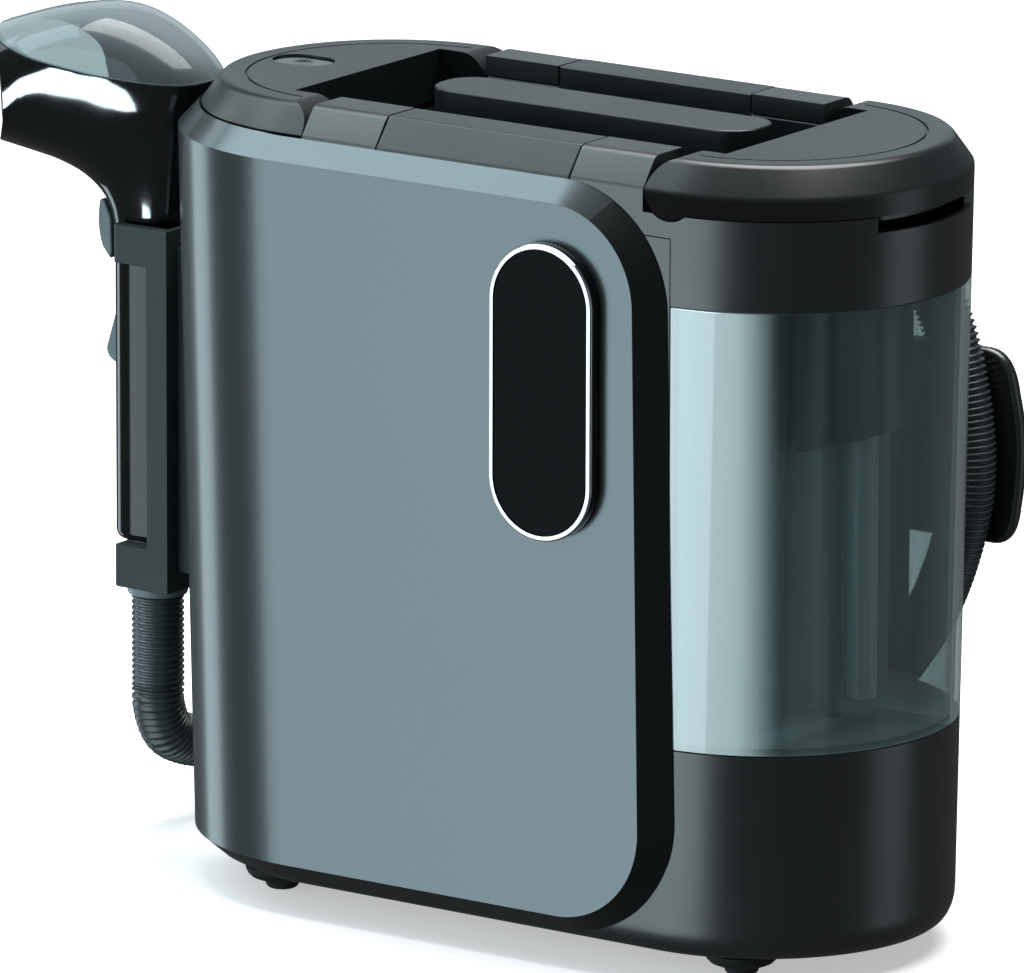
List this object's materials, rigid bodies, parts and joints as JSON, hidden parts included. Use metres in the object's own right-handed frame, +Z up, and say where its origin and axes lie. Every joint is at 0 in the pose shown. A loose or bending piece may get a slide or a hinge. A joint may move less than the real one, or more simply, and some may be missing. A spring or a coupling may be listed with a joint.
{
  "type": "spot cleaner",
  "caption": "Portable upright spot cleaner with a clear waste tank, wrapped front panel, recessed carry grip and a hose-fed hand tool docked at one end.",
  "frame": {"origin": "under the middle of the whole assembly, on the plane its feet stand on", "axes": "+X along the length towards the clear waste tank, -Y out of the front panel, +Z up"},
  "size_m": [0.4546, 0.2028, 0.3415],
  "materials": {
    "housing": "satin moulded black plastic",
    "rubber": "matt",
    "steel": "plain",
    "panel": "metallic grey-green lacquer",
    "gloss_black": "polished",
    "chrome": "polished",
    "dark_glass": "clear window over a black backing",
    "board": "circuit board",
    "clear": "clear moulded plastic",
    "clear_tank": "frosted clear moulded plastic",
    "white": "plain",
    "motor": "die-cast frame",
    "hose": "ribbed flexible hose",
    "grey": "light grey"
  },
  "bodies": {
    "machine": {"base_housing": "housing", "base_plate": "housing", "foot_front_right": "rubber", "foot_front_left": "rubber", "foot_back_left": "rubber", "foot_back_right": "rubber", "base_screw_1": "steel", "base_screw_2": "steel", "base_screw_3": "steel", "base_screw_4": "steel", "exhaust_grille": "housing", "cord_gland": "rubber", "main_shell": "housing", "top_deck": "housing", "grip_bar": "housing", "front_panel": "panel", "control_housing": "gloss_black", "control_ring": "chrome", "control_glass": "dark_glass", "control_board": "board", "water_line": "clear", "water_pump": "housing", "fan_housing": "housing", "motor_body": "motor", "suction_duct": "hose", "tool_dock": "housing", "hose_cradle": "housing", "hose_hook_right": "housing", "hose_hook_left": "housing", "hose": "hose", "inlet_elbow": "housing"},
    "impeller": {"impeller": "white", "motor_shaft": "steel"},
    "waste_tank": {"waste_tank": "clear", "waste_collar": "housing", "waste_lid_seal": "rubber", "waste_lid_pin_front": "steel", "waste_lid_pin_back": "steel", "separator_block": "housing", "suction_pipe": "clear", "return_pipe": "clear"},
    "waste_lid": {"waste_lid": "housing"},
    "float": {"float_valve": "white"},
    "clean_tank": {"clean_tank": "clear_tank", "clean_collar": "housing", "clean_lid_seal": "rubber", "clean_lid_pin_front": "steel", "clean_lid_pin_back": "steel"},
    "clean_lid": {"clean_lid": "housing"},
    "lid_button": {"clean_lid_button": "gloss_black"},
    "valve": {"valve_plunger": "white"},
    "hand_tool": {"tool_handle": "gloss_black", "trigger_pin": "steel", "hose_cuff": "grey", "hose_riser": "hose"},
    "trigger": {"tool_trigger": "grey"},
    "nozzle": {"nozzle_head": "gloss_black", "nozzle_window": "clear", "spray_tip": "grey"},
    "release_lever": {"head_release_lever": "grey"}
  },
  "joints": [
    {"name": "waste_tank_lift", "type": "slide", "parent": "machine", "child": "waste_tank", "axis": [0, 0, 1], "range_m": [0, 0.24]},
    {"name": "waste_lid_hinge", "type": "hinge", "parent": "waste_tank", "child": "waste_lid", "pos_m": [0.15021, -0.00905, 0.3185], "axis": [0, -1, 0], "range_deg": [0, 70]},
    {"name": "float_rise", "type": "slide", "parent": "waste_tank", "child": "float", "axis": [0, 0, 1], "range_m": [0, 0.016]},
    {"name": "clean_tank_lift", "type": "slide", "parent": "machine", "child": "clean_tank", "axis": [0, 0, 1], "range_m": [0, 0.24]},
    {"name": "clean_lid_hinge", "type": "hinge", "parent": "clean_tank", "child": "clean_lid", "pos_m": [-0.03779, -0.00905, 0.3185], "axis": [0, 1, 0], "range_deg": [0, 80]},
    {"name": "lid_button_press", "type": "slide", "parent": "clean_lid", "child": "lid_button", "axis": [0, 0, -1], "range_m": [0, 0.002], "stiffness_N_per_m": 600, "springref_m": -0.001},
    {"name": "valve_open", "type": "slide", "parent": "clean_tank", "child": "valve", "axis": [0, 0, 1], "range_m": [0, 0.004], "stiffness_N_per_m": 150, "springref_m": -0.002},
    {"name": "tool_lift", "type": "slide", "parent": "machine", "child": "hand_tool", "axis": [0, 0, 1], "range_m": [0, 0.16], "deforming": ["hose_riser"]},
    {"name": "trigger_pull", "type": "hinge", "parent": "hand_tool", "child": "trigger", "pos_m": [-0.16279, -0.00905, 0.217], "axis": [0, -1, 0], "range_deg": [0, 8], "stiffness_Nm_per_rad": 0.05, "springref_deg": -5.73},
    {"name": "nozzle_pull", "type": "slide", "parent": "hand_tool", "child": "nozzle", "axis": [0, 0, 1], "range_m": [0, 0.04]},
    {"name": "release_press", "type": "hinge", "parent": "nozzle", "child": "release_lever", "pos_m": [-0.17479, -0.00905, 0.251], "axis": [0, -1, 0], "range_deg": [0, 5], "stiffness_Nm_per_rad": 0.05, "springref_deg": -5.73},
    {"name": "impeller_spin", "type": "hinge", "parent": "machine", "child": "impeller", "pos_m": [0.07471, -0.00905, 0.115], "axis": [0, 0, 1], "continuous": true}
  ]
}
